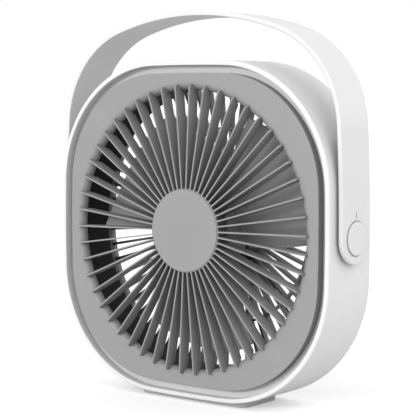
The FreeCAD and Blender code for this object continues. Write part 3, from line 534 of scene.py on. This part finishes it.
@dataclass(frozen=True)
class SolderMask:
    """Green board lacquer over copper tracks."""

    name: str
    colour: Colour
    track: Colour = (0.05, 0.26, 0.11)
    track_scale: float = 420.0
    track_width: float = 0.12
    pitch: float = 1800.0
    roughness: float = 0.2
    roughness_swing: float = 0.1
    coat: float = 0.4
    relief: float = 0.4
    depth: float = 0.00003

    def make(self) -> bpy.types.Material:
        """Make the material.

        Returns:
            The material.
        """
        material, wiring, shader = blank_material(self.name)
        place = wiring.add("ShaderNodeTexCoord")
        cells = wiring.add("ShaderNodeTexVoronoi", feature="DISTANCE_TO_EDGE", distance="MANHATTAN")
        cells.inputs["Scale"].default_value = self.track_scale
        wiring.link(place.outputs["Object"], cells.inputs["Vector"])
        tracks = wiring.math("LESS_THAN", cells.outputs["Distance"], self.track_width)
        wiring.link(mix_colour(wiring, tracks, self.colour, self.track), shader.inputs["Base Color"])
        grain = place_group(wiring, Effect.GRAIN, Pitch=self.pitch)
        swing = wiring.math("MULTIPLY", grain.outputs["Tone"], self.roughness_swing)
        wiring.link(wiring.math("ADD", swing, self.roughness), shader.inputs["Roughness"])
        shader.inputs["Coat Weight"].default_value = self.coat
        bump = wiring.add("ShaderNodeBump")
        bump.inputs["Strength"].default_value = self.relief
        bump.inputs["Distance"].default_value = self.depth
        wiring.link(tracks, bump.inputs["Height"])
        wiring.link(bump.outputs["Normal"], shader.inputs["Normal"])
        return material


class Finish(Protocol):
    """Anything that can make one named material."""

    name: str

    def make(self) -> bpy.types.Material:
        """Make the material.

        Returns:
            The material.
        """


WHITE: Colour = (0.82, 0.82, 0.82)
PANEL_GREY: Colour = (0.318, 0.318, 0.318)

# Finishes that more than one sub-assembly wears
STEEL = PlatedMetal("steel", (0.58, 0.58, 0.6))
BOARD_GREEN = SolderMask("board_green", (0.012, 0.11, 0.04))
WIRE_BLACK = MouldedPlastic("wire_black", (0.03, 0.03, 0.03), roughness=0.35, wear=0.1)


# ---------------------------------------------------------------------------
# Sub-assemblies
# ---------------------------------------------------------------------------

def rounded_bar(mesh: bmesh.types.BMesh, centre: Vector, along: Vector, across: Vector,
                size: tuple[float, float, float], rounding: float) -> None:
    """Add a bar with softened edges to a mesh.

    Args:
        mesh: The mesh being built.
        centre: The bar's middle.
        along: Unit direction of its length.
        across: Unit direction of its width.
        size: Length, width and height.
        rounding: How far its edges are softened.
    """
    made = bmesh.ops.create_cube(mesh, size=1.0)["verts"]
    up = along.cross(across)
    place = Matrix((along * size[0], across * size[1], up * size[2])).transposed().to_4x4()
    bmesh.ops.transform(mesh, matrix=Matrix.Translation(centre) @ place, verts=made)
    edges = list({edge for vert in made for edge in vert.link_edges})
    bmesh.ops.bevel(mesh, geom=edges, offset=rounding, segments=2, affect="EDGES", profile=0.7)


def add_piece(name: str, mesh: bmesh.types.BMesh, material: bpy.types.Material) -> bpy.types.Object:
    """Turn a built mesh into a named object in the scene.

    Args:
        name: The piece's name.
        mesh: The built mesh, which is freed.
        material: What the piece wears.

    Returns:
        The new object.
    """
    data = bpy.data.meshes.new(name)
    bmesh.ops.recalc_face_normals(mesh, faces=mesh.faces)
    mesh.to_mesh(data)
    mesh.free()
    data.materials.append(material)
    piece = bpy.data.objects.new(name, data)
    bpy.context.scene.collection.objects.link(piece)
    return piece


@dataclass
class SubAssembly:
    """A group of pieces that is built and finished together."""

    frame: dict
    made: dict[str, bpy.types.Material]
    pieces: tuple[str, ...] = ()
    added: list[str] = field(default_factory=list)

    def finishes(self) -> tuple[Finish, ...]:
        """List the finishes that this group's pieces wear.

        Returns:
            One finish for each material slot.
        """
        return ()

    def build(self) -> None:
        """Make the group's materials, then the pieces that the frame leaves out."""
        for finish in self.finishes():
            if finish.name not in self.made:
                self.made[finish.name] = finish.make()
        self.build_details()

    def build_details(self) -> None:
        """Make the group's own pieces; a group whose frame shapes are complete has none."""

    def join(self, piece: bpy.types.Object, neighbour: str, slot: str) -> None:
        """Let a new piece ride with the frame node that it is fixed to.

        Args:
            piece: The new piece.
            neighbour: The frame node that it is fixed to.
            slot: Not used; the piece keeps the material that it was made with.
        """
        bodies = self.frame["record"]["behaviour"]["bodies"]
        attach(piece, next(body for body, nodes in bodies.items() if neighbour in nodes))
        self.added.append(piece.name)

    def dress(self) -> list[str]:
        """Put on each of the group's frame pieces the material that its slot names.

        Returns:
            The names of the pieces that were dressed, the group's own ones among them.
        """
        slots = {entry["node"]: entry["material_slot"] for entry in self.frame["record"]["subparts"]}
        for name in self.pieces:
            material = self.made[slots[name]]
            piece = self.frame["nodes"][name]
            if not piece.material_slots:
                piece.data.materials.append(material)
            for slot in piece.material_slots:
                slot.material = material
        return [*self.pieces, *self.added]


@dataclass
class Shells(SubAssembly):
    """White body ring, back cover, hub cover and the grey foot."""

    pieces: tuple[str, ...] = ("body_shell", "rear_shell", "hub_cover", "foot_pad")
    grain_pitch: float = 2600.0
    foot_pitch: float = 1500.0

    def finishes(self) -> tuple[Finish, ...]:
        """List the finishes that this group's pieces wear.

        Returns:
            One finish for each material slot.
        """
        return (
            MouldedPlastic("shell_white", WHITE, pitch=self.grain_pitch, roughness=0.4, dust=0.03,
                           crevice_shade=0.4),
            MouldedPlastic("foot_rubber", (0.58, 0.58, 0.585), pitch=self.foot_pitch, roughness=0.75,
                           relief=0.6, clouding=0.1, dust=0.25, crevice_shade=0.4),
        )


@dataclass
class CarryHandle(SubAssembly):
    """The swinging strip with its caps and the washers it turns on."""

    pieces: tuple[str, ...] = ("handle", "pivot_caps", "friction_washers", "pivot_washers")
    grain_pitch: float = 2600.0

    def finishes(self) -> tuple[Finish, ...]:
        """List the finishes that this group's pieces wear.

        Returns:
            One finish for each material slot.
        """
        return (
            # The strip's inner faces get painted shade
            MouldedPlastic("handle_white", scaled(WHITE, 0.985), pitch=self.grain_pitch, roughness=0.38,
                           dust=0.03, inward_shade=0.7),
            MouldedPlastic("cap_white", scaled(WHITE, 1.01), pitch=self.grain_pitch, roughness=0.36,
                           dust=0.02, crevice_shade=0.9),
            MouldedPlastic("washer_plastic", (0.6, 0.6, 0.59), roughness=0.35),
            STEEL,
        )


@dataclass
class AirPath(SubAssembly):
    """Front grille, dark duct, rear grille and the blades between them."""

    pieces: tuple[str, ...] = ("front_grille", "duct_ring", "rear_grille", "impeller")
    grille_relief: float = 0.35

    def finishes(self) -> tuple[Finish, ...]:
        """List the finishes that this group's pieces wear.

        Returns:
            One finish for each material slot.
        """
        return (
            MouldedPlastic("grille_grey", PANEL_GREY, roughness=0.5, relief=self.grille_relief),
            MouldedPlastic("rear_grey", (0.20, 0.20, 0.205), roughness=0.5, relief=self.grille_relief),
            MouldedPlastic("duct_dark", (0.013, 0.013, 0.0135), roughness=0.55, clouding=0.15, wear=0.5,
                           shine=0.15, dust=0.04),
            MouldedPlastic("blade_grey", (0.29, 0.29, 0.29), roughness=0.4, clouding=0.05, crevice_shade=0.6),
        )


@dataclass
class Motor(SubAssembly):
    """Rotor can, magnet, shaft, bearings, laminated core, coils and the motor's board."""

    pieces: tuple[str, ...] = ("rotor_can", "magnet_ring", "shaft", "shaft_clip", "bearings",
                               "stator_core", "stator_coils", "motor_board", "motor_leads")
    lamination: float = 2200.0
    turns: float = 1300.0

    def finishes(self) -> tuple[Finish, ...]:
        """List the finishes that this group's pieces wear.

        Returns:
            One finish for each material slot.
        """
        return (
            PlatedMetal("shaft_steel", (0.66, 0.66, 0.68), roughness=0.2),
            PlatedMetal("core_steel", (0.3, 0.3, 0.32), roughness=0.45, fineness=self.lamination,
                        relief=0.5),
            MouldedPlastic("magnet", (0.05, 0.05, 0.053), roughness=0.6, pitch=3500.0, relief=0.5),
            WoundCopper("copper", (0.62, 0.26, 0.1), turns=self.turns),
            STEEL,
            BOARD_GREEN,
            WIRE_BLACK,
        )


@dataclass
class Electronics(SubAssembly):
    """Battery and its tray and leads, board, switch, button, light pipe and charging socket."""

    pieces: tuple[str, ...] = ("battery_pack", "battery_tray", "battery_leads", "circuit_board",
                               "tact_switch", "power_button", "light_pipe", "usb_port")
    tongue_back: float = 0.0009
    tongue_half: float = 0.00035
    contact_length: float = 0.0032
    contact_width: float = 0.0003
    contact_height: float = 0.00012
    contact_pitch: float = 0.0005
    contact_count: int = 10
    socket_tilt: float = 45.0

    def finishes(self) -> tuple[Finish, ...]:
        """List the finishes that this group's pieces wear.

        Returns:
            One finish for each material slot.
        """
        return (
            MouldedPlastic("cell_wrap", (0.07, 0.16, 0.34), roughness=0.25, coat=0.5),
            MouldedPlastic("tray_plastic", (0.05, 0.05, 0.05), roughness=0.5),
            MouldedPlastic("switch_black", (0.02, 0.02, 0.02), roughness=0.4),
            MouldedPlastic("button_grey", PANEL_GREY, roughness=0.38, coat=0.2),
            MouldedPlastic("lens_clear", (0.7, 0.73, 0.76), roughness=0.15, coat=0.6, wear=0.1),
            WIRE_BLACK,
            BOARD_GREEN,
            PlatedMetal("port_steel", (0.62, 0.62, 0.63), roughness=0.22),
        )

    def build_details(self) -> None:
        """Make the contact strips on both faces of the charging socket's tongue."""
        low, high = (Vector(corner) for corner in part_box("usb_port"))
        middle = (low + high) / 2.0
        tilt = math.radians(self.socket_tilt)
        wide = Vector((math.cos(tilt), 0.0, math.sin(tilt)))
        thin = Vector((math.sin(tilt), 0.0, -math.cos(tilt)))
        strips = bmesh.new()
        for face in (-1.0, 1.0):
            for number in range(self.contact_count):
                step = (number - (self.contact_count - 1) / 2.0) * self.contact_pitch
                spot = middle + wide * step + thin * face * self.tongue_half
                spot.y = high.y - self.tongue_back - self.contact_length / 2.0 - self.contact_pitch
                rounded_bar(strips, spot, Vector((0.0, 1.0, 0.0)), wide,
                            (self.contact_length, self.contact_width, self.contact_height),
                            self.contact_height / 4.0)
        gilt = PlatedMetal("contact_gilt", (0.83, 0.61, 0.28), roughness=0.25).make()
        self.join(add_piece("socket_contacts", strips, gilt), "usb_port", "port_steel")


@dataclass
class Fasteners(SubAssembly):
    """The screws that hold the grille, the shells, the pivots and the board."""

    pieces: tuple[str, ...] = ("pivot_screws", "grille_screws", "shell_screws", "board_screws")
    fineness: float = 900.0

    def finishes(self) -> tuple[Finish, ...]:
        """List the finishes that this group's pieces wear.

        Returns:
            One finish for each material slot.
        """
        return (PlatedMetal("screw_steel", (0.5, 0.5, 0.52), roughness=0.35, fineness=self.fineness),)


@dataclass
class Studio:
    """Plain pale floor, soft light and the camera."""

    camera_place: Vector = field(default_factory=lambda: Vector((0.42395, -0.54859, 0.14480)))
    azimuth: float = 37.72
    elevation: float = 4.42
    roll: float = 0.15
    lens: float = 125.28
    floor_half: float = 40.0
    sensor: float = 36.0
    far_clip: float = 200.0
    floor_glow: float = 0.3
    floor_pebble: float = 60.0
    floor_cloud: float = 3.0
    floor_low: Colour = (0.86, 0.86, 0.86)
    floor_high: Colour = (0.9, 0.9, 0.9)
    floor_roughness: float = 0.9
    floor_bounce: float = 0.62
    key: float = 1.25
    key_spread: float = 14.0
    key_from: tuple[float, float, float] = (-0.2, -0.95, 0.28)
    sky: float = 1.08
    sky_top: float = -0.52
    sky_top_from: tuple[float, float, float] = (0.0, 0.0, 1.0)
    sky_right: float = 0.5
    sky_right_from: tuple[float, float, float] = (0.9, 0.1, 0.42)

    def build(self) -> None:
        """Set up the camera, the light and the floor."""
        self.build_camera()
        self.build_light()
        self.build_floor()

    def build_floor(self) -> bpy.types.Object:
        """Make the floor, a wide sheet at table height.

        Returns:
            The floor.
        """
        mesh = bpy.data.meshes.new("floor")
        sheet = bmesh.new()
        bmesh.ops.create_grid(sheet, x_segments=8, y_segments=8, size=self.floor_half)
        sheet.to_mesh(mesh)
        sheet.free()
        floor = bpy.data.objects.new("floor", mesh)
        bpy.context.scene.collection.objects.link(floor)
        material, wiring, shader = blank_material("floor_paper")
        grain = place_group(wiring, Effect.GRAIN, Pitch=self.floor_pebble, Cloud=self.floor_cloud)
        wiring.link(mix_colour(wiring, grain.outputs["Tone"], self.floor_low, self.floor_high),
                    shader.inputs["Base Color"])
        shader.inputs["Roughness"].default_value = self.floor_roughness
        shader.inputs["Specular IOR Level"].default_value = 0.0
        shader.inputs["Emission Color"].default_value = (1.0, 1.0, 1.0, 1.0)
        shader.inputs["Emission Strength"].default_value = self.floor_glow
        bounce = wiring.add("ShaderNodeBsdfDiffuse")
        bounce.inputs["Color"].default_value = (self.floor_bounce,) * 3 + (1.0,)
        path = wiring.add("ShaderNodeLightPath")
        mix = wiring.add("ShaderNodeMixShader")
        wiring.link(path.outputs["Is Camera Ray"], mix.inputs[0])
        wiring.link(bounce.outputs[0], mix.inputs[1])
        wiring.link(shader.outputs[0], mix.inputs[2])
        wiring.link(mix.outputs[0], material.node_tree.nodes["Material Output"].inputs["Surface"])
        mesh.materials.append(material)
        return floor

    def build_light(self) -> None:
        """Light the scene evenly from all round, with a gentle key from the front left."""
        world = bpy.data.worlds.new("studio")
        world.use_nodes = True
        bpy.context.scene.world = world
        wiring = Wiring(world.node_tree)
        fill = world.node_tree.nodes["Background"]
        fill.inputs["Color"].default_value = (1.0, 1.0, 1.0, 1.0)
        place = wiring.add("ShaderNodeTexCoord")
        total: object = self.sky
        for toward, amount in ((self.sky_top_from, self.sky_top),
                               (self.sky_right_from, self.sky_right)):
            facing = wiring.add("ShaderNodeVectorMath", operation="DOT_PRODUCT")
            wiring.link(place.outputs["Generated"], facing.inputs[0])
            facing.inputs[1].default_value = Vector(toward).normalized()
            lobe = wiring.math("MAXIMUM", facing.outputs["Value"], 0.0)
            total = wiring.math("ADD", wiring.math("MULTIPLY", lobe, amount), total)
        wiring.link(total, fill.inputs["Strength"])
        seen = wiring.add("ShaderNodeBackground")
        seen.inputs["Color"].default_value = (1.0, 1.0, 1.0, 1.0)
        seen.inputs["Strength"].default_value = 1.0
        path = wiring.add("ShaderNodeLightPath")
        mix = wiring.add("ShaderNodeMixShader")
        wiring.link(path.outputs["Is Camera Ray"], mix.inputs[0])
        wiring.link(fill.outputs[0], mix.inputs[1])
        wiring.link(seen.outputs[0], mix.inputs[2])
        wiring.link(mix.outputs[0], world.node_tree.nodes["World Output"].inputs["Surface"])
        sun = bpy.data.lights.new("soft_key", "SUN")
        sun.energy = self.key
        sun.angle = math.radians(self.key_spread)
        lamp = bpy.data.objects.new("soft_key", sun)
        toward = Vector(self.key_from)
        lamp.rotation_euler = toward.to_track_quat("Z", "Y").to_euler()
        bpy.context.scene.collection.objects.link(lamp)

    def build_camera(self) -> bpy.types.Object:
        """Make the camera and set it as the scene's own.

        Returns:
            The camera.
        """
        data = bpy.data.cameras.new("view")
        data.lens = self.lens
        data.sensor_width = self.sensor
        data.clip_end = self.far_clip
        camera = bpy.data.objects.new("view", data)
        az, el = math.radians(self.azimuth), math.radians(self.elevation)
        look = Vector((-math.sin(az) * math.cos(el), math.cos(az) * math.cos(el), -math.sin(el)))
        aim = look.to_track_quat("-Z", "Y").to_matrix().to_4x4()
        spin = Matrix.Rotation(math.radians(self.roll), 4, "Z")
        camera.matrix_world = Matrix.Translation(self.camera_place) @ aim @ spin
        bpy.context.scene.collection.objects.link(camera)
        bpy.context.scene.camera = camera
        return camera


def main() -> None:
    """Light the studio, then build and dress each sub-assembly in turn."""
    logging.basicConfig(level=logging.INFO, format="%(name)s: %(message)s")
    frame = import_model()
    bpy.context.scene.view_settings.view_transform = "Standard"
    Studio().build()
    made: dict[str, bpy.types.Material] = {}
    for kind in (Shells, CarryHandle, AirPath, Motor, Electronics, Fasteners):
        group = kind(frame, made)
        group.build()
        for piece in group.dress():
            LOG.info("%s: %s", kind.__name__, piece)


if __name__ == "__main__":
    main()
